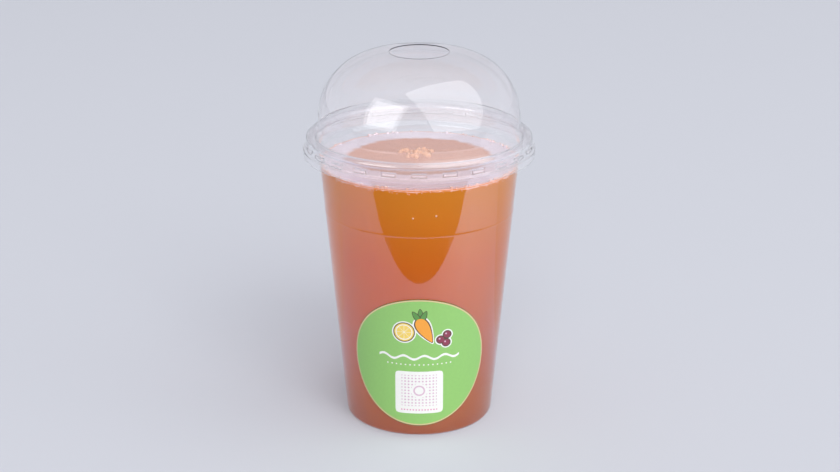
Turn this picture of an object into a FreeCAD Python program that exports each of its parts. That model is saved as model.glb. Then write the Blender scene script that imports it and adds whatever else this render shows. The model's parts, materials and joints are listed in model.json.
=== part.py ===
# Half-litre cold-drink cup, filled with juice, with a press-on dome lid and a round sticker.
#
# All sizes are in millimetres.  The cup stands on its foot ring at z = 0, its axis is +Z,
# and the sticker faces -Y.  The cup and the lid are thermoformed from clear film, so each
# is one outer-face path in the XZ plane, thickened inwards by its film and revolved.  The
# juice fills the cup's inside up to its level.  The lid is built on the cup's rolled rim:
# its flange seats on the top of the roll, its band goes round it and its lugs catch below.

import FreeCAD, Part
import math
import os

# Cup body
CUP_HEIGHT = 132.0  # top of the rolled rim
CUP_FILM = 0.45
BASE_RADIUS = 33.1  # outer face of the wall, carried down to z = 0
WALL_TAPER = 5.17  # degrees from upright
HEEL_RADIUS = 2.4  # rounding between the wall and the foot ring
FOOT_WIDTH = 2.2  # the ring that the cup stands on
FOOT_INNER_RADIUS = 1.0  # rounding between the foot ring and the recess
RECESS_DEPTH = 4.5  # underside of the base above the table
RECESS_DRAFT = 1.6  # how far the recess wall leans in over its depth
PANEL_ROUNDING = 1.4
PANEL_RISE = 1.2  # the base panel is pushed up at its middle
PANEL_FLAT_RADIUS = 12.0  # level middle of the panel
PANEL_RISE_ROUNDING = 40.0

# Moulded ring that marks a fill of 0.4 litres
FILL_RING_HEIGHT = 97.7
FILL_RING_WIDTH = 1.2
FILL_RING_STAND = 0.12  # how far the ring stands out from the wall
FILL_RING_ROUNDING = 0.3

# Stacking shoulder and neck, under the rim
NECK_HEIGHT = 8.2  # from the shoulder's top to the rim's top
SHOULDER_HEIGHT = 1.6
SHOULDER_STEP = 1.25  # how far the neck stands out from the wall below it
SHOULDER_ROUNDING = 0.7
NECK_LEAN = 0.15  # how far the neck leans out up to the rim

# Rolled rim
ROLL_RADIUS = 1.75  # outside of the roll
ROLL_TURN = 285.0  # degrees that the film turns through

# Juice
JUICE_DROP = 13.6  # the juice's top below the top of the rim
JUICE_GAP = 0.05  # between the juice and the film

# Dome lid
LID_FILM = 0.4
DOME_HEIGHT = 36.6  # crown above the top of the cup's rim
DOME_INSET = 4.35  # from the edge of the cup's rim in to the dome's upright wall
DOME_BEND = 28.0  # the large round between the wall and the crown
CROWN_RADIUS = 130.0  # the nearly flat crown
STRAW_HOLE_RADIUS = 13.1
FLANGE_SLOPE = 37.5  # degrees from level, down over the rim
FLANGE_ROOT_ROUNDING = 1.6
FLANGE_EDGE_ROUNDING = 0.9
SEAT_CLEARANCE = 0.05  # between the rim's roll and the flange over it
BAND_CLEARANCE = 0.5  # between the rim's roll and the band round it
BAND_DROP = 2.3  # the band ends this far below the roll
BAND_LEAN = 0.4  # how far the band leans out over its height
LEDGE_DROP = 0.5
LEDGE_ROUNDING = 0.35
SKIRT_STEP = 1.1  # how far the skirt stands out from the band
SKIRT_HEIGHT = 2.9

# Catch lugs, pressed inwards from the band so that they hold below the roll
LUG_COUNT = 24
LUG_ARC = 7.5  # degrees
LUG_RADIUS = 1.1  # half of a lug's height
LUG_BITE = 0.4  # how far a lug reaches in under the roll
LUG_CLEARANCE = 0.1  # between the roll and the top of a lug

# Round paper sticker, wrapped on the tapered wall
STICKER_RADIUS = 31.5
STICKER_FOOT = 5.75  # lowest point of the sticker above the table, along the wall
STICKER_THICKNESS = 0.2
STICKER_GLUE = 0.05
STICKER_POINTS = 48

AXIS = FreeCAD.Vector(0, 0, 1)
ORIGIN = FreeCAD.Vector(0, 0, 0)


def point(radius, height):
    return FreeCAD.Vector(radius, 0, height)


def at_angle(centre, radius, degrees):
    turn = math.radians(degrees)
    return centre + FreeCAD.Vector(radius * math.cos(turn), 0, radius * math.sin(turn))


def arc(centre, radius, start, end):
    """Arc in the XZ plane between two angles in degrees, counted from +X towards +Z."""
    middle = at_angle(centre, radius, (start + end) / 2)
    return Part.Arc(at_angle(centre, radius, start), middle, at_angle(centre, radius, end)).toShape()


def rounded_run(corners):
    """Straight edges through corners (radius, height, rounding), each joined by its round."""
    points = [point(radius, height) for radius, height, _ in corners]
    edges = []
    start = points[0]
    for index in range(1, len(points) - 1):
        corner = points[index]
        back = (points[index - 1] - corner).normalize()
        ahead = (points[index + 1] - corner).normalize()
        rounding = corners[index][2]
        half_angle = back.getAngle(ahead) / 2
        reach = rounding / math.tan(half_angle)
        bisector = (back + ahead).normalize()
        middle = corner + bisector * (rounding / math.sin(half_angle) - rounding)
        edges.append(Part.makeLine(start, corner + back * reach))
        edges.append(Part.Arc(corner + back * reach, middle, corner + ahead * reach).toShape())
        start = corner + ahead * reach
    edges.append(Part.makeLine(start, points[-1]))
    return edges


def film(path, thickness, angle=360.0):
    """Revolve a path, thickened to its left, into a solid of even film."""
    section = path.makeOffset2D(thickness, join=0, fill=True, openResult=True, intersection=False)
    return section.revolve(ORIGIN, AXIS, angle)


def filled(path):
    """Revolve the whole area between a path and the axis."""
    ends = [path.OrderedVertexes[-1].Point, path.OrderedVertexes[0].Point]
    outline = path.OrderedEdges + [Part.makeLine(ends[0], point(0, ends[0].z))]
    outline.append(Part.makeLine(point(0, ends[0].z), point(0, ends[1].z)))
    if ends[1].x > 0:
        outline.append(Part.makeLine(point(0, ends[1].z), ends[1]))
    solid = Part.Face(Part.Wire(outline)).revolve(ORIGIN, AXIS, 360)
    return solid if solid.Volume > 0 else solid.reversed()


def wall_radius(height):
    """Outer face of the cup's tapered wall."""
    return BASE_RADIUS + height * math.tan(math.radians(WALL_TAPER))


# The roll's middle, which the lid takes its flange, band and lugs from
NECK_FOOT = CUP_HEIGHT - NECK_HEIGHT
SHOULDER_FOOT = NECK_FOOT - SHOULDER_HEIGHT
NECK_RADIUS = wall_radius(SHOULDER_FOOT) + SHOULDER_STEP
MOUTH_RADIUS = NECK_RADIUS + NECK_LEAN
ROLL_CENTRE = point(MOUTH_RADIUS + ROLL_RADIUS - CUP_FILM, CUP_HEIGHT - ROLL_RADIUS)
RIM_RADIUS = ROLL_CENTRE.x + ROLL_RADIUS
DOME_RADIUS = RIM_RADIUS - DOME_INSET
ROLL_BOTTOM = CUP_HEIGHT - 2 * ROLL_RADIUS


def wall_run():
    """Outer face of the cup, from the middle of its base up to where its rim starts to roll."""
    foot_inner = BASE_RADIUS - HEEL_RADIUS / 2 - FOOT_WIDTH - FOOT_INNER_RADIUS
    panel = foot_inner - RECESS_DRAFT
    ring_low = FILL_RING_HEIGHT - FILL_RING_WIDTH / 2
    ring_high = FILL_RING_HEIGHT + FILL_RING_WIDTH / 2
    return rounded_run([
        (0, RECESS_DEPTH + PANEL_RISE, 0),
        (PANEL_FLAT_RADIUS, RECESS_DEPTH + PANEL_RISE, PANEL_RISE_ROUNDING),
        (panel, RECESS_DEPTH, PANEL_ROUNDING),
        (foot_inner, 0, FOOT_INNER_RADIUS),
        (BASE_RADIUS, 0, HEEL_RADIUS),
        (wall_radius(ring_low), ring_low, FILL_RING_ROUNDING),
        (wall_radius(FILL_RING_HEIGHT) + FILL_RING_STAND, FILL_RING_HEIGHT, FILL_RING_ROUNDING),
        (wall_radius(ring_high), ring_high, FILL_RING_ROUNDING),
        (wall_radius(SHOULDER_FOOT), SHOULDER_FOOT, SHOULDER_ROUNDING),
        (NECK_RADIUS, NECK_FOOT, SHOULDER_ROUNDING),
        (MOUTH_RADIUS, ROLL_CENTRE.z, 0),
    ])


def make_cup():
    roll = arc(ROLL_CENTRE, ROLL_RADIUS - CUP_FILM, 180, 180 - ROLL_TURN)
    return film(Part.Wire(wall_run() + [roll]), CUP_FILM)


def make_juice():
    """The cup's inside, a hair smaller than the film, cut level at the juice's top."""
    lining = Part.Wire(wall_run()).makeOffset2D(CUP_FILM + JUICE_GAP, join=0, openResult=True)
    below_level = Part.makeCylinder(2 * RIM_RADIUS, CUP_HEIGHT - JUICE_DROP)
    return filled(lining).common(below_level)


def lid_path():
    """Outer face of the lid, from the bottom of its skirt up to the edge of the straw hole."""
    slope = math.tan(math.radians(FLANGE_SLOPE))
    over_roll = ROLL_RADIUS + SEAT_CLEARANCE + LID_FILM
    flange_at_roll = ROLL_CENTRE.z + over_roll / math.cos(math.radians(FLANGE_SLOPE))
    band_radius = RIM_RADIUS + BAND_CLEARANCE + LID_FILM
    flange_root = flange_at_roll + (ROLL_CENTRE.x - DOME_RADIUS) * slope
    flange_edge = flange_at_roll - (band_radius - ROLL_CENTRE.x) * slope
    band_foot = ROLL_BOTTOM - BAND_DROP
    ledge_foot = band_foot - LEDGE_DROP
    skirt_radius = band_radius + BAND_LEAN + SKIRT_STEP

    crown_centre = point(0, CUP_HEIGHT + DOME_HEIGHT - CROWN_RADIUS)
    bend_reach = DOME_RADIUS - DOME_BEND
    bend_rise = math.sqrt((CROWN_RADIUS - DOME_BEND) ** 2 - bend_reach**2)
    bend_centre = point(bend_reach, crown_centre.z + bend_rise)
    bend_turn = math.degrees(math.atan2(bend_rise, bend_reach))
    hole_turn = math.degrees(math.acos(STRAW_HOLE_RADIUS / CROWN_RADIUS))

    corners = [
        (skirt_radius, ledge_foot - SKIRT_HEIGHT, 0),
        (skirt_radius, ledge_foot, LEDGE_ROUNDING),
        (band_radius + BAND_LEAN, band_foot, LEDGE_ROUNDING),
        (band_radius, flange_edge, FLANGE_EDGE_ROUNDING),
        (DOME_RADIUS, flange_root, FLANGE_ROOT_ROUNDING),
        (DOME_RADIUS, bend_centre.z, 0),
    ]
    bend = arc(bend_centre, DOME_BEND, 0, bend_turn)
    crown = arc(crown_centre, CROWN_RADIUS, bend_turn, hole_turn)
    return Part.Wire(rounded_run(corners) + [bend, crown])


def lug_ring(radius, arc_degrees):
    """Round bars on the band's line, one at each lug's place."""
    middle = ROLL_BOTTOM - LUG_CLEARANCE - LUG_RADIUS
    reach = RIM_RADIUS - LUG_BITE + LUG_RADIUS
    section = Part.Face(Part.Wire(Part.makeCircle(radius, point(reach, middle), FreeCAD.Vector(0, 1, 0))))
    section.rotate(ORIGIN, AXIS, -arc_degrees / 2)
    bar = section.revolve(ORIGIN, AXIS, arc_degrees)
    bars = []
    for index in range(LUG_COUNT):
        copy = bar.copy()
        copy.rotate(ORIGIN, AXIS, 360 * index / LUG_COUNT)
        bars.append(copy)
    return bars


def make_lid():
    """The lid's film with each lug pressed in: bars added inside, and hollowed from outside."""
    path = lid_path()
    envelope = filled(path)
    lugs = [bar.common(envelope) for bar in lug_ring(LUG_RADIUS, LUG_ARC)]
    film_arc = math.degrees(LID_FILM / RIM_RADIUS)
    hollows = lug_ring(LUG_RADIUS - LID_FILM, LUG_ARC - 2 * film_arc)
    return film(path, LID_FILM).fuse(lugs).cut(hollows).removeSplitter()


def sticker_outline():
    """The sticker's flat circle, wrapped on the cone and seen square on, as a closed curve."""
    taper = math.radians(WALL_TAPER)
    apex_distance = BASE_RADIUS / math.sin(taper)
    points = []
    for index in range(STICKER_POINTS):
        turn = 2 * math.pi * index / STICKER_POINTS
        across = STICKER_RADIUS * math.cos(turn)
        along = apex_distance + STICKER_FOOT + STICKER_RADIUS * (1 + math.sin(turn))
        slant = math.hypot(across, along)
        wrap = math.atan2(across, along) / math.sin(taper)
        radius = slant * math.sin(taper)
        points.append(point(radius * math.sin(wrap), (slant - apex_distance) * math.cos(taper)))
    curve = Part.BSplineCurve()
    curve.interpolate(points, PeriodicFlag=True)
    return curve.toShape()


def make_sticker():
    """A strip of paper round the front half of the wall, cut to the round outline."""
    low = HEEL_RADIUS
    high = STICKER_FOOT + 2 * STICKER_RADIUS
    taper = math.radians(WALL_TAPER)
    outwards = point(math.cos(taper), -math.sin(taper))
    glued = [point(wall_radius(z), z) + outwards * STICKER_GLUE for z in (low, high)]
    printed = [corner + outwards * STICKER_THICKNESS for corner in reversed(glued)]
    section = Part.Face(Part.makePolygon(glued + printed + glued[:1]))
    strip = section.revolve(ORIGIN, AXIS, 180)
    strip.rotate(ORIGIN, AXIS, 180)
    outline = Part.Face(Part.Wire(sticker_outline()))
    cutter = outline.extrude(FreeCAD.Vector(0, -2 * wall_radius(high), 0))
    return strip.common(cutter)


def main():
    os.makedirs("parts", exist_ok=True)
    pieces = {
        "cup": make_cup(),
        "juice": make_juice(),
        "lid": make_lid(),
        "sticker": make_sticker(),
    }
    for name, shape in pieces.items():
        solids = shape.Solids
        if len(solids) != 1 or not solids[0].isValid():
            raise ValueError(f"{name} is {len(solids)} solids, or not a valid one")
        solids[0].exportStep(f"parts/{name}.step")
        box = solids[0].BoundBox
        print(name, round(solids[0].Volume), "mm3, z", round(box.ZMin, 2), "to", round(box.ZMax, 2))


main()
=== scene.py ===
# Half-litre cold-drink cup of amber juice under a clear dome lid, with a round sticker.
#
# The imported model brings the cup, the lid, the juice and the sticker at their real sizes.
# This script gives them their finishes, in the order in which the drink is put together,
# and adds the small things that need no construction: foam, bubbles and the print.

import json
import math
import random

import bpy
from mathutils import Matrix, Vector

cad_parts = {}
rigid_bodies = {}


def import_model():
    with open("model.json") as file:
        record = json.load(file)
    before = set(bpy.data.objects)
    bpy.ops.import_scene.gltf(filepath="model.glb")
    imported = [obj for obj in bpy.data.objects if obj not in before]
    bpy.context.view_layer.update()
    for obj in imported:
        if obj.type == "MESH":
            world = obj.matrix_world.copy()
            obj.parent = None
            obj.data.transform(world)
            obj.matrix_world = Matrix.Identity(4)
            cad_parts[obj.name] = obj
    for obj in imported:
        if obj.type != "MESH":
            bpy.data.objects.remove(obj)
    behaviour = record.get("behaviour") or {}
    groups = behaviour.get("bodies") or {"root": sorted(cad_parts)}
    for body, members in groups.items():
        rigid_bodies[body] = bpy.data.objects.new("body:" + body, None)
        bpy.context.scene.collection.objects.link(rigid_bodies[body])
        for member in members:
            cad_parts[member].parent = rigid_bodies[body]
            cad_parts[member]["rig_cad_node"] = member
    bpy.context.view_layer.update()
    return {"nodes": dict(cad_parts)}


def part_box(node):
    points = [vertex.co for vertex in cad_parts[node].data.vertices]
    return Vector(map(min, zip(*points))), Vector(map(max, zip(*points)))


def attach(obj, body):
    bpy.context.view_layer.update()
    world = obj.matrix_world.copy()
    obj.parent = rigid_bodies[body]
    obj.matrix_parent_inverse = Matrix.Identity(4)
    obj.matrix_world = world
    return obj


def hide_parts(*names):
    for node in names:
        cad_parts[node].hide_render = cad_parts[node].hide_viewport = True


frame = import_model()
nodes = frame["nodes"]


# ---------------------------------------------------------------------------------------
# Cup.  Clear PET film, drawn over a mould: smooth and glossy, with the faint waves that
# the stretched film keeps.  Light from a lamp goes straight through so thin a wall.

FILM_IOR = 1.06  # how much the thin wall bends what is seen through it
FILM_GLOSS_IOR = 1.64  # how strongly its two faces shine
FILM_TINT = (0.99, 0.985, 0.99, 1.0)
FILM_GLOSS_BLUR = 0.02
FILM_SHADOW_TINT = (0.95, 0.95, 0.96, 1.0)  # of the light that goes straight through it
FILM_HAZE = 0.05  # the largest roughness of its hazy patches
ROLL_FOOT = 0.1282  # where the curled rim begins, and where the neck below it ends
ROLL_START = 0.0006  # height over which the painted white sheen of the curl sets in


def node(tree, kind, **settings):
    """A shader node with its settings, where a setting that names an input fills or links it."""
    made = tree.nodes.new(kind)
    for name, value in settings.items():
        label = name.replace("_", " ")
        if label in made.inputs and not hasattr(made, name):
            if isinstance(value, bpy.types.NodeSocket):
                tree.links.new(value, made.inputs[label])
            else:
                made.inputs[label].default_value = value
        else:
            setattr(made, name, value)
    return made


def calc(tree, operation, first, second=0.0, third=0.0):
    """The result of a Math node on numbers or sockets."""
    made = tree.nodes.new("ShaderNodeMath")
    made.operation = operation
    for place, value in zip(made.inputs, (first, second, third)):
        if isinstance(value, bpy.types.NodeSocket):
            tree.links.new(value, place)
        else:
            place.default_value = value
    return made.outputs[0]


def fade(tree, value, ends):
    """Runs from 0 at the first end of a value to 1 at the second."""
    start, end = ends
    return node(tree, "ShaderNodeMapRange", Value=value, From_Min=start, From_Max=end).outputs[0]


def new_material(name):
    """A material with its Principled shader and output joined, and the tree they are in."""
    material = bpy.data.materials.new(name)
    material.use_nodes = True
    tree = material.node_tree
    tree.nodes.clear()
    output = tree.nodes.new("ShaderNodeOutputMaterial")
    shader = tree.nodes.new("ShaderNodeBsdfPrincipled")
    tree.links.new(shader.outputs[0], output.inputs["Surface"])
    return material, tree, shader, output


def make_drawn_film():
    """Group for thermoformed film: long waves along the draw, and a haze that comes and goes."""
    group = bpy.data.node_groups.new("drawn_film", "ShaderNodeTree")
    for name, kind in (("Vector", "Vector"), ("Wave Size", "Float"), ("Haze", "Float")):
        group.interface.new_socket(name, in_out="INPUT", socket_type="NodeSocket" + kind)
    for name in ("Height", "Roughness"):
        group.interface.new_socket(name, in_out="OUTPUT", socket_type="NodeSocketFloat")
    given = group.nodes.new("NodeGroupInput")
    result = group.nodes.new("NodeGroupOutput")
    stretched = node(
        group, "ShaderNodeMapping", Vector=given.outputs["Vector"], Scale=(1.0, 1.0, 0.35))
    waves = node(group, "ShaderNodeTexNoise", Vector=stretched.outputs[0], Detail=1.0)
    group.links.new(calc(group, "DIVIDE", 1.0, given.outputs["Wave Size"]), waves.inputs["Scale"])
    patches = node(
        group, "ShaderNodeTexNoise", Vector=given.outputs["Vector"], Scale=90.0, Detail=2.0)
    haze = calc(group, "MULTIPLY", patches.outputs["Fac"], given.outputs["Haze"])
    group.links.new(waves.outputs["Fac"], result.inputs["Height"])
    group.links.new(haze, result.inputs["Roughness"])
    return group


drawn_film = make_drawn_film()


def passes_soft_light(tree, shader, output, colour, share=None):
    """Lets the light that lamps and dull surfaces send, or a share of it, go straight through."""
    straight = node(tree, "ShaderNodeBsdfTransparent", Color=colour)
    path = node(tree, "ShaderNodeLightPath")
    soft = calc(tree, "MAXIMUM", path.outputs["Is Shadow Ray"], path.outputs["Is Diffuse Ray"])
    if share is not None:
        soft = calc(tree, "MULTIPLY", soft, share)
    mix = node(tree, "ShaderNodeMixShader", Fac=soft)
    tree.links.new(shader.outputs[0], mix.inputs[1])
    tree.links.new(straight.outputs[0], mix.inputs[2])
    tree.links.new(mix.outputs[0], output.inputs["Surface"])


def film_material(name, wave_size, wave_depth):
    """Clear glossy film, which lets lamps and soft light through unbent."""
    material, tree, shader, output = new_material(name)
    place = node(tree, "ShaderNodeTexCoord")
    waves = tree.nodes.new("ShaderNodeGroup")
    waves.node_tree = drawn_film
    waves.inputs["Wave Size"].default_value = wave_size
    waves.inputs["Haze"].default_value = FILM_HAZE
    tree.links.new(place.outputs["Object"], waves.inputs["Vector"])
    bump = node(tree, "ShaderNodeBump", Strength=1.0, Distance=wave_depth,
                Height=waves.outputs["Height"])
    tree.links.new(bump.outputs["Normal"], shader.inputs["Normal"])
    tree.links.new(waves.outputs["Roughness"], shader.inputs["Roughness"])
    shader.inputs["Base Color"].default_value = FILM_TINT
    shader.inputs["Transmission Weight"].default_value = 1.0
    shader.inputs["IOR"].default_value = FILM_IOR
    shader.inputs["Coat Weight"].default_value = 1.0
    shader.inputs["Coat IOR"].default_value = FILM_GLOSS_IOR
    shader.inputs["Coat Roughness"].default_value = FILM_GLOSS_BLUR
    passes_soft_light(tree, shader, output, FILM_SHADOW_TINT)
    return material, tree, shader, output, place


def finish_node(name, material):
    """Puts a material on a CAD node, in place of the plain one that it comes with."""
    for place in nodes[name].material_slots:
        place.material = material


def painted_curl_sheen(tree, shader, output, mask, share, colour):
    """Lays a soft white over a film within a mask: painted sheen, for the light that curled film
    catches.
    """
    haze = node(tree, "ShaderNodeBsdfPrincipled", Roughness=0.45)
    haze.inputs["Base Color"].default_value = (*colour, 1.0)
    mix = node(tree, "ShaderNodeMixShader", Fac=calc(tree, "MULTIPLY", mask, share))
    tree.links.new(shader.outputs[0], mix.inputs[1])
    tree.links.new(haze.outputs[0], mix.inputs[2])
    into = output.inputs["Surface"].links[0].from_node
    tree.links.new(mix.outputs[0], into.inputs[1])


def cup_material():
    """The film, with a painted white sheen where the rim is curled."""
    material, tree, shader, output, place = film_material(
        "cup_film", wave_size=0.022, wave_depth=0.00002)
    split = node(tree, "ShaderNodeSeparateXYZ", Vector=place.outputs["Object"])
    curl = fade(tree, split.outputs["Z"], (ROLL_FOOT, ROLL_FOOT + ROLL_START))
    # Painted sheen: a soft white over the curled rim, for the light caught in its curl.
    painted_curl_sheen(tree, shader, output, curl, share=0.04, colour=(0.93, 0.90, 0.97))
    return material


finish_node("cup", cup_material())


# ---------------------------------------------------------------------------------------
# Juice.  Pressed and lightly clouded, amber at the top and redder towards the bottom, and
# painted lighter at the top and darker at the bottom, as light and shade from the light that
# comes in through its surface.  It wets the film, so it reaches into the wall here and climbs
# it in a small meniscus.

WET = 0.00012  # how far the juice reaches into the film
# The meniscus, from the wall inwards: distance in from the wall, and height over the level
MENISCUS_STEPS = ((-0.00004, 0.0004), (0.0003, 0.0004), (0.0008, 0.00015), (0.0016, 0.0))
AT_LEVEL = 1e-4  # how little below the level a point still counts as being at it


def alone(piece):
    """Makes one object the selected and active one."""
    bpy.ops.object.select_all(action="DESELECT")
    piece.select_set(True)
    bpy.context.view_layer.objects.active = piece


def select_points(piece, wanted):
    """In edit mode, selects the vertices whose place passes the test."""
    bpy.ops.mesh.select_mode(type="VERT")
    bpy.ops.mesh.select_all(action="DESELECT")
    bpy.ops.object.mode_set(mode="OBJECT")
    for vertex in piece.data.vertices:
        vertex.select = wanted(vertex.co)
    bpy.ops.object.mode_set(mode="EDIT")


def select_faces(piece, wanted):
    """In edit mode, selects the faces whose polygon passes the test."""
    bpy.ops.mesh.select_mode(type="FACE")
    bpy.ops.mesh.select_all(action="DESELECT")
    bpy.ops.object.mode_set(mode="OBJECT")
    for polygon in piece.data.polygons:
        polygon.select = wanted(polygon)
    bpy.ops.object.mode_set(mode="EDIT")


def next_ring(radius_ratio, rise):
    """Extrudes the selected ring of edges to a ring of another radius and height."""
    bpy.ops.mesh.extrude_edges_move(TRANSFORM_OT_translate={"value": (0, 0, rise)})
    bpy.ops.transform.resize(
        value=(radius_ratio, radius_ratio, 1), center_override=(0, 0, juice_level))


juice_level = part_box("juice")[1].z
alone(nodes["juice"])
bpy.ops.object.duplicate()
juice = bpy.context.view_layer.objects.active
juice.name = "juice_fill"
juice.data.name = "juice_fill"
del juice["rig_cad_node"]
bpy.ops.object.mode_set(mode="EDIT")
bpy.ops.mesh.customdata_custom_splitnormals_clear()
bpy.ops.mesh.select_all(action="SELECT")
bpy.ops.mesh.remove_doubles(threshold=1e-6)
select_faces(juice, lambda face: face.center.z > juice_level - 1e-6)
bpy.ops.mesh.delete(type="FACE")
bpy.ops.mesh.select_mode(type="VERT")
bpy.ops.mesh.select_all(action="SELECT")
bpy.ops.transform.shrink_fatten(value=WET, use_even_offset=True)
select_points(juice, lambda co: co.z > juice_level - AT_LEVEL)
bpy.ops.mesh.select_mode(type="EDGE")
places = [vertex.co for vertex in juice.data.vertices]
level_radius = max(math.hypot(co.x, co.y) for co in places if co.z > juice_level - AT_LEVEL)
reach, height = 0.0, 0.0
for next_reach, next_height in MENISCUS_STEPS:
    next_ring((level_radius - next_reach) / (level_radius - reach), next_height - height)
    reach, height = next_reach, next_height
bpy.ops.mesh.edge_face_add()
bpy.ops.mesh.select_all(action="SELECT")
bpy.ops.mesh.normals_make_consistent(inside=False)
bpy.ops.object.mode_set(mode="OBJECT")
bpy.ops.object.shade_smooth_by_angle(angle=math.radians(40))


def mixed(tree, factor, first, second, kind="MIX"):
    """The colour of a Mix node between two colours or sockets."""
    made = node(tree, "ShaderNodeMix", data_type="RGBA", blend_type=kind)
    places = (made.inputs["Factor"], made.inputs[6], made.inputs[7])
    for place, value in zip(places, (factor, first, second)):
        if isinstance(value, bpy.types.NodeSocket):
            tree.links.new(value, place)
        else:
            place.default_value = value
    return made.outputs[2]


LIGHT_THROUGH = 0.78  # share of soft light that passes each side of the cloudy juice
GLOW_SHARE = 0.5  # share of the juice's light that comes from behind it
GLOW_COLOUR = (0.95, 0.17, 0.01, 1.0)
LIGHT_THROUGH_TINT = (1.0, 0.93, 0.90, 1.0)
# Painted light and shade: the juice is lighter at the top, where light comes in, and darker at the
# bottom.
JUICE_BOTTOM_SHADED, JUICE_TOP_LIT = (0.40, 0.078, 0.012, 1.0), (0.84, 0.355, 0.026, 1.0)
JUICE_BETWEEN, BETWEEN_PLACE = (0.72, 0.172, 0.006, 1.0), 0.70
CLOUD_COLOUR, CLOUD_STRENGTH = (0.80, 0.31, 0.04, 1.0), 0.16


def juice_material():
    """Cloudy juice: amber and painted lighter at the top, redder and painted darker below, pulp and
    a glow.
    """
    material, tree, shader, output = new_material("juice_amber")
    place = node(tree, "ShaderNodeTexCoord")
    split = node(tree, "ShaderNodeSeparateXYZ", Vector=place.outputs["Object"])
    height = fade(tree, split.outputs["Z"], (0.0, juice_level))
    shade = node(tree, "ShaderNodeValToRGB", Fac=height)
    shade.color_ramp.elements[0].color = JUICE_BOTTOM_SHADED
    shade.color_ramp.elements[1].color = JUICE_TOP_LIT
    shade.color_ramp.elements.new(BETWEEN_PLACE).color = JUICE_BETWEEN
    pulp = node(tree, "ShaderNodeTexNoise", Vector=place.outputs["Object"], Scale=38.0, Detail=3.0)
    clouds = calc(tree, "MULTIPLY", fade(tree, pulp.outputs["Fac"], (0.35, 0.7)), CLOUD_STRENGTH)
    clouded = mixed(tree, clouds, shade.outputs["Color"], CLOUD_COLOUR)
    tree.links.new(clouded, shader.inputs["Base Color"])
    shader.inputs["Roughness"].default_value = 0.3
    shader.inputs["IOR"].default_value = 1.45
    shader.inputs["Coat Weight"].default_value = 1.0
    shader.inputs["Coat Roughness"].default_value = 0.06
    glow = node(tree, "ShaderNodeBsdfTranslucent", Color=GLOW_COLOUR)
    body = node(tree, "ShaderNodeMixShader", Fac=GLOW_SHARE)
    tree.links.new(shader.outputs[0], body.inputs[1])
    tree.links.new(glow.outputs[0], body.inputs[2])
    passes_soft_light(tree, body, output, LIGHT_THROUGH_TINT, LIGHT_THROUGH)
    return material


juice.data.materials.clear()
juice.data.materials.append(juice_material())
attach(juice, "root")
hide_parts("juice")


# ---------------------------------------------------------------------------------------
# Foam and bubbles.  A skin of fine pale bubbles floats on the juice, thick in a ring along
# the wall and thin over the middle, with larger bubbles in a cluster, along the wall and on
# the film.

FOAM_TOP = 0.0008  # above the juice's level
FOAM_DEPTH = 0.0011
FOAM_RING_WIDTH = 0.0105
FOAM_SIDES = 192
FOAM_BANDS = 34  # rings of faces from the wall to the middle
# Name, size and depth of the unevenness, and the points that it moves, where not all
FOAM_TEXTURES = (("lumps", 0.003, 0.0007, ""), ("drips", 0.0045, 0.0018, "underside"))
RING_BLUR = 0.0012  # to each side of the ring's inner edge
RING_WANDER = 0.003  # how far that edge strays
FRONT_WIDENING = 0.02  # how much wider the ring is in front
WALL_BAND = (0.0002, 0.0010)  # depth of the warm band that is seen against the wall
BAND_COLOUR, MIDDLE_COLOUR = (0.90, 0.50, 0.38, 1.0), (0.67, 0.35, 0.26, 1.0)
# The ring's back colour holds a painted reflection of the dome's back wall, which makes it whiter
# and cooler.
RING_BACK_AND_SHEEN, RING_FRONT = (0.80, 0.70, 0.75, 1.0), (0.93, 0.60, 0.60, 1.0)

bpy.ops.object.select_all(action="DESELECT")
bpy.ops.mesh.primitive_circle_add(
    vertices=FOAM_SIDES, radius=level_radius, fill_type="NGON",
    location=(0, 0, juice_level + FOAM_TOP))
foam = bpy.context.object
foam.name = "foam"
foam.data.name = "foam"
bpy.ops.object.transform_apply(location=True)
bpy.ops.object.mode_set(mode="EDIT")
bpy.ops.mesh.select_mode(type="FACE")
bpy.ops.mesh.select_all(action="SELECT")
for _ in range(FOAM_BANDS):
    bpy.ops.mesh.inset(thickness=level_radius / (FOAM_BANDS + 1), depth=0)
bpy.ops.mesh.poke()
bpy.ops.mesh.select_all(action="SELECT")
bpy.ops.mesh.extrude_region_move(TRANSFORM_OT_translate={"value": (0, 0, -FOAM_DEPTH)})
bpy.ops.object.vertex_group_add()
bpy.ops.object.vertex_group_assign()
foam.vertex_groups[-1].name = "underside"
bpy.ops.mesh.select_all(action="SELECT")
bpy.ops.mesh.normals_make_consistent(inside=False)
bpy.ops.object.mode_set(mode="OBJECT")
for name, size, strength, group in FOAM_TEXTURES:
    froth = bpy.data.textures.new(name, "CLOUDS")
    froth.noise_scale = size
    modifier = foam.modifiers.new(name, "DISPLACE")
    modifier.texture = froth
    modifier.texture_coords = "LOCAL"
    modifier.direction = "Z"
    modifier.strength = strength
    modifier.vertex_group = group
alone(foam)
for name, *_ in FOAM_TEXTURES:
    bpy.ops.object.modifier_apply(modifier=name)
bpy.ops.object.shade_smooth_by_angle(angle=math.radians(40))


def distance_from_axis(tree, split):
    """The radius of a point, from its separated coordinates."""
    squares = (calc(tree, "POWER", split.outputs[side], 2.0) for side in ("X", "Y"))
    return calc(tree, "SQRT", calc(tree, "ADD", *squares))


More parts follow.
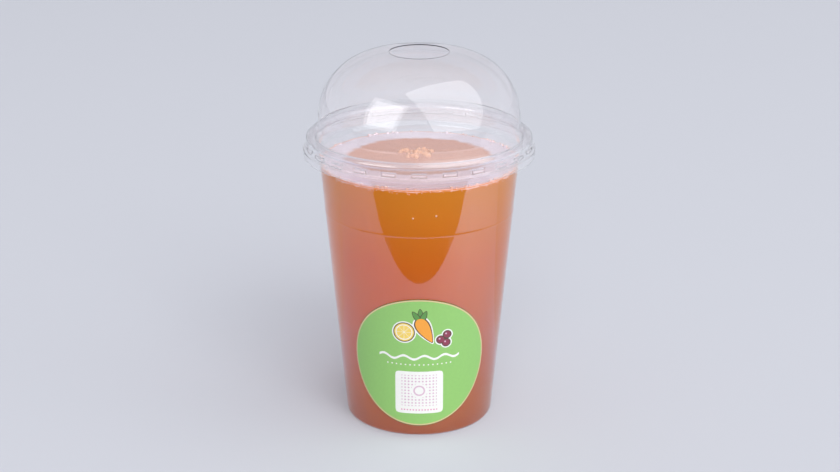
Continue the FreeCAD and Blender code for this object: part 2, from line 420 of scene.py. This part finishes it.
def foam_material():
    """Pale froth: a ring along the wall, wider and warmer in front, whiter at the back with painted
    reflection, and a juicier middle.
    """
    material, tree, shader, _ = new_material("juice_foam")
    place = node(tree, "ShaderNodeTexCoord").outputs["Object"]
    split = node(tree, "ShaderNodeSeparateXYZ", Vector=place)
    radius = distance_from_axis(tree, split)
    patches = node(tree, "ShaderNodeTexNoise", Vector=place, Scale=160.0, Detail=3.0)
    wander = calc(tree, "MULTIPLY_ADD", patches.outputs["Fac"], 2 * RING_WANDER, -RING_WANDER)
    forward = calc(tree, "MULTIPLY", split.outputs["Y"], -1 / level_radius)
    front = calc(tree, "MAXIMUM", forward, 0.0)
    wander = calc(tree, "MULTIPLY_ADD", front, FRONT_WIDENING, wander)
    edge = level_radius - FOAM_RING_WIDTH
    ring = fade(tree, calc(tree, "ADD", radius, wander), (edge - RING_BLUR, edge + RING_BLUR))
    inside = fade(tree, radius, [level_radius - depth for depth in WALL_BAND])
    ring_top = mixed(tree, front, RING_BACK_AND_SHEEN, RING_FRONT)
    paint = mixed(tree, ring, MIDDLE_COLOUR, mixed(tree, inside, BAND_COLOUR, ring_top))
    cells = node(tree, "ShaderNodeTexVoronoi", Vector=place, Scale=1400.0).outputs["Distance"]
    shade = node(tree, "ShaderNodeMapRange", Value=cells, To_Min=1.0, To_Max=0.75)
    fine = mixed(tree, 0.25, paint, shade.outputs[0], "MULTIPLY")
    tree.links.new(fine, shader.inputs["Base Color"])
    bump = node(tree, "ShaderNodeBump", Strength=0.5, Distance=0.0003, Height=cells)
    tree.links.new(bump.outputs["Normal"], shader.inputs["Normal"])
    shader.inputs["Roughness"].default_value = 0.5
    return material


# Bubbles: pale ones along the wall, which belong to the foam, a clear cluster that floats
# behind the middle, and two that cling to the film in front
BUBBLE_COUNT = 30
CLUSTER_MIDDLE = (-0.0015, 0.010)
CLUSTER_REACH = (0.0075, 0.0085)
WALL_LEAN = 0.09  # how far the wall leans out over a height of one
# Angle from the front, depth below the level, and size
FILM_BUBBLES = ((-0.062, 0.0121, 0.0005), (0.170, 0.0112, 0.0005))
dice = random.Random(4)


def blow(name, spots):
    """One mesh of round bubbles (x, y, height above the level, size)."""
    drops = []
    for x, y, height, size in spots:
        bpy.ops.mesh.primitive_uv_sphere_add(
            segments=16, ring_count=10, radius=size, location=(x, y, juice_level + height))
        drops.append(bpy.context.object)
    for drop in drops:
        drop.select_set(True)
    bpy.ops.object.join()
    bpy.context.object.name = name
    bpy.context.object.data.name = name
    bpy.ops.object.transform_apply(location=True)
    bpy.ops.object.shade_smooth()
    return bpy.context.object


along_wall = []
for _ in range(8 * BUBBLE_COUNT):
    turn = dice.uniform(0, 2 * math.pi)
    size = dice.uniform(0.0003, 0.0008)
    height = dice.uniform(-0.0012, 0.0012)
    reach = level_radius + WALL_LEAN * height - size + 0.00005
    along_wall.append((reach * math.cos(turn), reach * math.sin(turn), height, size))
wall_bubbles = blow("wall_bubbles", along_wall)

cluster = []
for _ in range(BUBBLE_COUNT):
    turn, away = dice.uniform(0, 2 * math.pi), math.sqrt(dice.random())
    size = dice.uniform(0.0006, 0.0018)
    x = CLUSTER_MIDDLE[0] + CLUSTER_REACH[0] * away * math.cos(turn)
    y = CLUSTER_MIDDLE[1] + CLUSTER_REACH[1] * away * math.sin(turn)
    cluster.append((x, y, FOAM_TOP, size))
for turn, drop, size in FILM_BUBBLES:
    reach = level_radius - WALL_LEAN * drop
    cluster.append((reach * math.sin(turn), -reach * math.cos(turn), -drop, size))
bubbles = blow("bubbles", cluster)


def bubble_material():
    """Wet bubble skins: clear and glossy, with a pale tint of the foam."""
    material, _, shader, _, _ = film_material("bubble_skin", wave_size=0.004, wave_depth=0.00001)
    shader.inputs["Base Color"].default_value = (0.92, 0.60, 0.42, 1.0)
    shader.inputs["Transmission Weight"].default_value = 0.5
    shader.inputs["IOR"].default_value = 1.1
    shader.inputs["Coat IOR"].default_value = 1.4
    return material


froth_skin = foam_material()
foam.data.materials.append(froth_skin)
wall_bubbles.data.materials.append(froth_skin)
bubbles.data.materials.append(bubble_material())
for piece in (foam, wall_bubbles, bubbles):
    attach(piece, "root")


# ---------------------------------------------------------------------------------------
# Sticker.  Coated white paper, printed in flat colours and cut round.  The print is drawn
# on the flat circle, so each point of the wall is first unrolled back to the flat sheet.

STICKER_MIDDLE = 0.03725  # from the table to the sticker's middle, along the wall
STICKER_RADIUS = 0.0315
BASE_RADIUS = 0.0331  # the wall's radius where it would reach the table
WALL_TAPER = math.radians(5.17)
MM = 1000.0


class Sheet:
    """The flat sheet's own coordinates, in millimetres from its middle, and masks drawn on it."""

    def __init__(self, tree):
        self.tree = tree
        place = node(tree, "ShaderNodeTexCoord")
        split = node(tree, "ShaderNodeSeparateXYZ", Vector=place.outputs["Object"])
        apex = BASE_RADIUS / math.sin(WALL_TAPER)
        slant = self.calc("MULTIPLY_ADD", split.outputs["Z"], 1 / math.cos(WALL_TAPER), apex)
        towards = self.calc("MULTIPLY", split.outputs["Y"], -1.0)
        wrap = self.calc("ARCTAN2", split.outputs["X"], towards)
        turn = self.calc("MULTIPLY", wrap, math.sin(WALL_TAPER))
        across = self.calc("MULTIPLY", slant, self.calc("SINE", turn))
        along = self.calc("MULTIPLY", slant, self.calc("COSINE", turn))
        self.across = self.calc("MULTIPLY", across, MM)
        self.along = self.calc("MULTIPLY_ADD", along, MM, -MM * (apex + STICKER_MIDDLE))
        self.place = place.outputs["Object"]
        self.colour = None

    def calc(self, operation, first, second=0.0, third=0.0):
        return calc(self.tree, operation, first, second, third)

    def turned(self, middle, degrees):
        """Coordinates along and across an axis through a point, at an angle from the horizontal."""
        right = self.calc("SUBTRACT", self.across, middle[0])
        up = self.calc("SUBTRACT", self.along, middle[1])
        cosine, sine = math.cos(math.radians(degrees)), math.sin(math.radians(degrees))
        length = self.calc("MULTIPLY_ADD", right, cosine, self.calc("MULTIPLY", up, sine))
        width = self.calc("MULTIPLY_ADD", up, cosine, self.calc("MULTIPLY", right, -sine))
        return length, width

    def petal(self, middle, radii, degrees=0.0, taper=0.0, grow=0.0):
        """Mask of an ellipse, narrowed towards one end by its taper."""
        length, width = self.turned(middle, degrees)
        length = self.calc("DIVIDE", length, radii[0] + grow)
        narrow = self.calc("MULTIPLY_ADD", length, -taper * (radii[1] + grow), radii[1] + grow)
        width = self.calc("DIVIDE", width, narrow)
        squares = self.calc("MULTIPLY_ADD", length, length, self.calc("MULTIPLY", width, width))
        return self.calc("LESS_THAN", squares, 1.0)

    def spokes(self, middle, count, width):
        """Mask of straight lines that cross at a point."""
        length, rise = self.turned(middle, 0)
        angle = self.calc("ARCTAN2", rise, length)
        swing = self.calc("ABSOLUTE", self.calc("SINE", self.calc("MULTIPLY", angle, count / 2)))
        squares = self.calc("MULTIPLY_ADD", length, length, self.calc("MULTIPLY", rise, rise))
        away = self.calc("MULTIPLY", swing, self.calc("SQRT", squares))
        return self.calc("LESS_THAN", away, width)

    def both(self, first, second):
        return self.calc("MULTIPLY", first, second)

    def without(self, mask, cut):
        return self.calc("MULTIPLY", mask, self.calc("SUBTRACT", 1.0, cut))

    def wave(self, height, swing, length, width, reach):
        """Mask of a wavy line about a height, as far as its reach to both sides."""
        shift = self.calc("SINE", self.calc("MULTIPLY", self.across, 2 * math.pi / length))
        middle = self.calc("MULTIPLY_ADD", shift, swing, height)
        away = self.calc("ABSOLUTE", self.calc("SUBTRACT", self.along, middle))
        near = self.calc("LESS_THAN", away, width / 2)
        return self.both(near, self.calc("LESS_THAN", self.calc("ABSOLUTE", self.across), reach))

    def dots(self, middle, pitch, radius, reach):
        """Mask of dots in a square grid about a point, as far as its reach across and along."""
        length, rise = self.turned(middle, 0)
        cells = []
        for value in (length, rise):
            cell = self.calc("PINGPONG", value, pitch / 2)
            cells.append(self.calc("MULTIPLY", cell, cell))
        spot = self.calc("LESS_THAN", self.calc("ADD", cells[0], cells[1]), radius**2)
        wide = self.calc("LESS_THAN", self.calc("ABSOLUTE", length), reach[0])
        high = self.calc("LESS_THAN", self.calc("ABSOLUTE", rise), reach[1])
        return self.both(spot, self.both(wide, high))

    def panel(self, middle, half, power):
        """Mask of a square with rounded corners."""
        total = 0.0
        for value in self.turned(middle, 0):
            share = self.calc("DIVIDE", self.calc("ABSOLUTE", value), half)
            total = self.calc("ADD", self.calc("POWER", share, power), total)
        return self.calc("LESS_THAN", total, 1.0)

    def ink(self, mask, colour):
        """Prints a colour over what is there, within a mask."""
        self.colour = mixed(self.tree, mask, self.colour, (*colour, 1.0))


def sticker_material():
    """The print: green field, cream border, fruit and leaves, a wave line and a dotted panel, with
    painted shade along the cut edge.
    """
    green, cream, edge = (0.255, 0.505, 0.135), (0.62, 0.49, 0.26), (0.16, 0.15, 0.04)
    white, dark, orange = (0.80, 0.80, 0.76), (0.07, 0.055, 0.03), (0.80, 0.33, 0.04)
    yellow, leaf = (0.80, 0.58, 0.12), (0.10, 0.27, 0.06)
    berry, pink, magenta = (0.24, 0.04, 0.07), (0.62, 0.42, 0.53), (0.66, 0.22, 0.40)
    material, tree, shader, _ = new_material("sticker_print")
    sheet = Sheet(tree)
    sheet.colour = (*green, 1.0)

    # Border, inside the cut edge, and a dark ring of painted shade along the cut edge itself
    rim = STICKER_RADIUS * MM
    sheet.ink(sheet.calc("SUBTRACT", 1.0, sheet.petal((0, 0), (rim - 0.9, rim - 0.9))), cream)
    sheet.ink(sheet.calc("SUBTRACT", 1.0, sheet.petal((0, 0), (rim - 0.3, rim - 0.3))), edge)

    # Carrot with its leaves, an orange slice and berries, each on a white edge with a dark line
    carrot, carrot_size, carrot_turn = (2.6, 16.2), (6.4, 2.5), -62
    slice_middle, slice_radius = (-6.6, 15.4), 4.3
    berries = ((9.4, 11.4), (12.3, 13.6), (11.9, 9.7))
    fronds = ((0.6, 24.0, 95), (-1.3, 23.2, 125), (2.0, 23.2, 65))
    for grow, colour in ((1.0, white), (0.45, dark)):
        sheet.ink(sheet.petal(carrot, carrot_size, carrot_turn, 0.55, grow), colour)
        sheet.ink(sheet.petal(slice_middle, (slice_radius, slice_radius), grow=grow), colour)
        for middle in berries:
            sheet.ink(sheet.petal(middle, (1.6, 1.6), grow=grow), colour)
    for x, y, turn in fronds:
        sheet.ink(sheet.petal((x, y), (2.6, 1.0), turn, 0.3, 0.35), dark)
        sheet.ink(sheet.petal((x, y), (2.6, 1.0), turn, 0.3), leaf)
    sheet.ink(sheet.petal(carrot, carrot_size, carrot_turn, 0.55), orange)
    sheet.ink(sheet.petal(slice_middle, (slice_radius, slice_radius)), yellow)
    pith = sheet.petal(slice_middle, (slice_radius - 0.6, slice_radius - 0.6))
    sheet.ink(pith, white)
    flesh = sheet.petal(slice_middle, (slice_radius - 1.0, slice_radius - 1.0))
    sheet.ink(sheet.without(flesh, sheet.spokes(slice_middle, 8, 0.28)), yellow)
    for middle in berries:
        sheet.ink(sheet.petal(middle, (1.6, 1.6)), berry)
        sheet.ink(sheet.petal((middle[0] - 0.5, middle[1] + 0.5), (0.4, 0.4)), pink)

    # Wave line and dots in place of words, and a panel with a dotted pattern
    sheet.ink(sheet.wave(3.0, 0.9, 9.0, 1.1, 18.0), white)
    sheet.ink(sheet.dots((0, -0.6), 2.0, 0.34, (15.0, 0.9)), white)
    sheet.ink(sheet.panel((0, -14.6), 10.6, 14.0), white)
    sheet.ink(sheet.dots((0, -13.6), 1.55, 0.42, (7.8, 7.8)), pink)
    sheet.ink(sheet.petal((0, -13.6), (3.6, 3.6)), white)
    sheet.ink(sheet.petal((0, -13.6), (2.6, 2.6)), pink)
    sheet.ink(sheet.petal((0, -13.6), (1.9, 1.9)), white)
    sheet.ink(sheet.dots((0, -23.4), 1.3, 0.36, (8.0, 0.6)), magenta)

    # Paper: faint fibre in the colour and the gloss
    fibre = node(tree, "ShaderNodeTexNoise", Vector=sheet.place, Scale=900.0, Detail=3.0)
    tone = node(tree, "ShaderNodeMapRange", Value=fibre.outputs["Fac"], To_Min=0.94, To_Max=1.04)
    paper = mixed(tree, 1.0, sheet.colour, tone.outputs[0], "MULTIPLY")
    tree.links.new(paper, shader.inputs["Base Color"])
    gloss = node(tree, "ShaderNodeMapRange", Value=fibre.outputs["Fac"], To_Min=0.38, To_Max=0.55)
    tree.links.new(gloss.outputs[0], shader.inputs["Roughness"])
    return material


finish_node("sticker", sticker_material())


# ---------------------------------------------------------------------------------------
# Lid.  Clear PET film like the cup, a little thinner, pressed on over the rim, with the straw
# hole punched through its crown: a thin dark ring of painted shade lies round the hole's edge.
# Where the dome bends out into the sloped flange, the drawn film shines less.

HOLE_RADIUS = 0.0131
HOLE_EDGE_SHADE, HOLE_EDGE_WIDTH = (0.06, 0.06, 0.06, 1.0), 0.00003
FLANGE_ROOT = 0.0445  # radius where the upright wall turns out into the flange
FLANGE_EDGE = 0.0480
WALL_SHINE_ENDS = (0.0438, 0.0441)  # radii between which the dome's shine fades out
RIM_SHINE_BEGINS = (0.0472, 0.0464)  # radii between which it is back, from the outside in
BEND_DULLNESS = 0.85  # share of the shine that is lost between these
FLANGE_HAZE, FLANGE_GLOSS_BLUR = 0.05, 0.15  # added out to the flange's edge


def lid_material():
    """The film, with painted shade as a dark ring round the hole, and duller where it bends out to
    the flange.
    """
    material, tree, shader, _, place = film_material("lid_film", wave_size=0.03, wave_depth=0.00002)
    split = node(tree, "ShaderNodeSeparateXYZ", Vector=place.outputs["Object"])
    radius = distance_from_axis(tree, split)
    # Painted shade: the film's colour turns dark in a thin ring at the hole's edge.
    cut = calc(tree, "LESS_THAN", radius, HOLE_RADIUS + HOLE_EDGE_WIDTH)
    tree.links.new(mixed(tree, cut, FILM_TINT, HOLE_EDGE_SHADE), shader.inputs["Base Color"])
    beyond = fade(tree, radius, (FLANGE_ROOT, FLANGE_EDGE))
    haze = shader.inputs["Roughness"].links[0].from_socket
    rougher = calc(tree, "MULTIPLY_ADD", beyond, FLANGE_HAZE, haze)
    tree.links.new(rougher, shader.inputs["Roughness"])
    blurred = calc(tree, "MULTIPLY_ADD", beyond, FLANGE_GLOSS_BLUR, FILM_GLOSS_BLUR)
    tree.links.new(blurred, shader.inputs["Coat Roughness"])
    past_wall = fade(tree, radius, WALL_SHINE_ENDS)
    before_rim = fade(tree, radius, RIM_SHINE_BEGINS)
    dull = calc(tree, "MULTIPLY", past_wall, before_rim)
    shine = calc(tree, "MULTIPLY_ADD", dull, -BEND_DULLNESS, 1.0)
    tree.links.new(shine, shader.inputs["Coat Weight"])
    shader.inputs["IOR"].default_value = 1.1
    shader.inputs["Transmission Weight"].default_value = 0.95
    return material


finish_node("lid", lid_material())


# ---------------------------------------------------------------------------------------
# Table, cards, lights and camera.  The drink stands on a wide table of matt pale paper, as in
# a small studio.  Two cards lie on it that only mirrored light meets: a dark one in front,
# as the unlit room would be, and a pale one round the cup that glows, though it is no lamp,
# and lays a painted cool reflection on its wall.

TABLE_SIZE, TABLE_COLOUR = 24.0, (0.60, 0.617, 0.66, 1.0)
DARK_CARD_MIDDLE, DARK_CARD_SIZE = (0, -0.660, 0.001), (2.0, 1.0)
PALE_CARD_MIDDLE, PALE_CARD_SIZE = (0.05, -0.055, 0.0015), (0.80, 0.21)
# The pale card's light on its left and right, from where to where it changes, and its fades:
# from the cup outwards, from the outside inwards, and from the back forwards
PALE_LEFT, PALE_RIGHT, PALE_CHANGE = (0.60, 0.68, 1.2, 1.0), (0.95, 1.25, 1.75, 1.0), (-0.05, 0.16)
PALE_NEAR, PALE_FAR, PALE_BACK = (0.05, 0.11), (0.38, 0.24), (0.11, -0.11)
ROOM_LOW, ROOM_HIGH = (0.66, 0.67, 0.74, 1.0), (0.40, 0.40, 0.44, 1.0)

bpy.ops.object.select_all(action="DESELECT")
bpy.ops.mesh.primitive_plane_add(size=TABLE_SIZE, location=(0, 0, 0))
table = bpy.context.object
table.name = "table"
paper, _, shader, _ = new_material("table_paper")
shader.inputs["Base Color"].default_value = TABLE_COLOUR
shader.inputs["Roughness"].default_value = 0.9
shader.inputs["Specular IOR Level"].default_value = 0.0
table.data.materials.append(paper)


def mirrors_only(tree, surface, output, share=None):
    """Shows a surface, or a share of it, to light that has been mirrored, and to no other."""
    path = node(tree, "ShaderNodeLightPath")
    mirrored = calc(tree, "GREATER_THAN", path.outputs["Glossy Depth"], 0.5)
    clear = node(tree, "ShaderNodeBsdfTransparent")
    if share is not None:
        mirrored = calc(tree, "MULTIPLY", share, mirrored)
    mix = node(tree, "ShaderNodeMixShader", Fac=mirrored)
    tree.links.new(clear.outputs[0], mix.inputs[1])
    tree.links.new(surface.outputs[0], mix.inputs[2])
    tree.links.new(mix.outputs[0], output.inputs["Surface"])


def lay_card(name, middle, size, material):
    """A flat card on the table, unseen but for what mirrors it."""
    bpy.ops.mesh.primitive_plane_add(size=1.0, location=middle)
    card = bpy.context.object
    card.name = name
    card.scale = (*size, 1.0)
    bpy.ops.object.transform_apply(location=True, scale=True)
    card.data.materials.append(material)
    card.visible_camera = False
    card.visible_diffuse = False
    card.visible_shadow = False
    return card


def dark_card_material():
    """Matt black."""
    material, tree, shader, output = new_material("dark_card")
    shader.inputs["Base Color"].default_value = (0.0, 0.0, 0.0, 1.0)
    shader.inputs["Roughness"].default_value = 1.0
    shader.inputs["Specular IOR Level"].default_value = 0.0
    mirrors_only(tree, shader, output)
    return material


def pale_card_material():
    """A cool glow, past white on the right, strongest in front on the right and fading out on all
    other sides: painted reflection.
    """
    material, tree, shader, output = new_material("card_glow")
    tree.nodes.remove(shader)
    place = node(tree, "ShaderNodeTexCoord")
    split = node(tree, "ShaderNodeSeparateXYZ", Vector=place.outputs["Object"])
    radius = distance_from_axis(tree, split)
    cool = mixed(tree, fade(tree, split.outputs["X"], PALE_CHANGE), PALE_LEFT, PALE_RIGHT)
    share = calc(tree, "MULTIPLY", fade(tree, radius, PALE_NEAR), fade(tree, radius, PALE_FAR))
    share = calc(tree, "MULTIPLY", share, fade(tree, split.outputs["Y"], PALE_BACK))
    mirrors_only(tree, node(tree, "ShaderNodeEmission", Color=cool), output, share)
    return material


dark = lay_card("dark_room", DARK_CARD_MIDDLE, DARK_CARD_SIZE, dark_card_material())
bright = lay_card("glowing_card", PALE_CARD_MIDDLE, PALE_CARD_SIZE, pale_card_material())

world = bpy.data.worlds.new("room")
bpy.context.scene.world = world
world.use_nodes = True
tree = world.node_tree
direction = node(tree, "ShaderNodeTexCoord")
split = node(tree, "ShaderNodeSeparateXYZ", Vector=direction.outputs["Generated"])
height = node(tree, "ShaderNodeValToRGB", Fac=split.outputs["Z"])
height.color_ramp.elements[0].color = ROOM_LOW
height.color_ramp.elements[1].color = ROOM_HIGH
height.color_ramp.elements[1].position = 0.6
tree.links.new(height.outputs["Color"], tree.nodes["Background"].inputs["Color"])

AIM = Vector((0, 0, 0.10))
UPRIGHT = Vector((0, 0, 1))
LAMP_DISTANCE = 9.0
KEY_SIZE = (1.35, 1.8)
# Name, distance, width and strength.  The two stand apart, because lamps on one plane hide
# each other.
FILL_LAMPS = (("fill_glint", 9.0, 0.60, 1.35), ("fill_halo", 9.2, 0.76, 1.0))


def facing(direction, along):
    """Rotation of a lamp that sits in a direction from the drink, its long side along another."""
    back = direction.normalized()
    up = (along - back * along.dot(back)).normalized()
    side = up.cross(back)
    return Matrix((side, up, back)).transposed().to_quaternion()


def softbox(name, way, distance, size, radiance, tilt):
    """A rectangular soft light in a direction from the drink, sized as a share of its distance."""
    width, height = size[0] * distance, size[1] * distance
    data = bpy.data.lights.new(name, "AREA")
    data.shape = "RECTANGLE"
    data.size, data.size_y = width, height
    data.energy = radiance * math.pi * width * height
    lamp = bpy.data.objects.new(name, data)
    bpy.context.scene.collection.objects.link(lamp)
    lamp.location = AIM + distance * way
    lamp.rotation_mode = "QUATERNION"
    lamp.rotation_quaternion = tilt
    lamp.visible_camera = False
    return lamp


# Key light, high on the right: its glint is stronger than the light that it gives
key_way = Vector((0.552, -0.4545, 0.70))
key_tilt = facing(Vector((0.536, -0.487, 0.690)), Vector((-0.413, 0.556, 0.722)))
softbox("key_softbox", key_way, LAMP_DISTANCE, KEY_SIZE, 1.04, key_tilt)
key_glint = softbox("key_glint", key_way, LAMP_DISTANCE, KEY_SIZE, 1.9, key_tilt)
key_glint.visible_diffuse = False

# Fill light on the left, which only glints, with a fainter rim
fill_way = Vector((-0.62, -0.62, 0.47))
fill_tilt = facing(fill_way, UPRIGHT)
for name, distance, width, radiance in FILL_LAMPS:
    glint = softbox(name, fill_way, distance, (width, 1.2 * width), radiance, fill_tilt)
    glint.visible_diffuse = False

# Bounce from the front, without a glint
front_way = Vector((0.18, -0.77, 0.6))
front_tilt = facing(front_way, UPRIGHT)
bounce = softbox("front_bounce", front_way, LAMP_DISTANCE, (0.9, 0.6), 4.1, front_tilt)
bounce.visible_glossy = False
bounce.visible_transmission = False

CAMERA_LENS = 73.95
CAMERA_PLACE = (0.00035, -0.727, 0.3459)
CAMERA_DOWN = 0.3467  # how far it looks down from the horizontal
camera_data = bpy.data.cameras.new("camera")
camera_data.lens = CAMERA_LENS
camera_data.sensor_width = 36.0
camera = bpy.data.objects.new("camera", camera_data)
bpy.context.scene.collection.objects.link(camera)
camera.location = CAMERA_PLACE
camera.rotation_euler = (math.pi / 2 - CAMERA_DOWN, 0, 0)
bpy.context.scene.camera = camera
bpy.context.scene.view_settings.view_transform = "Standard"
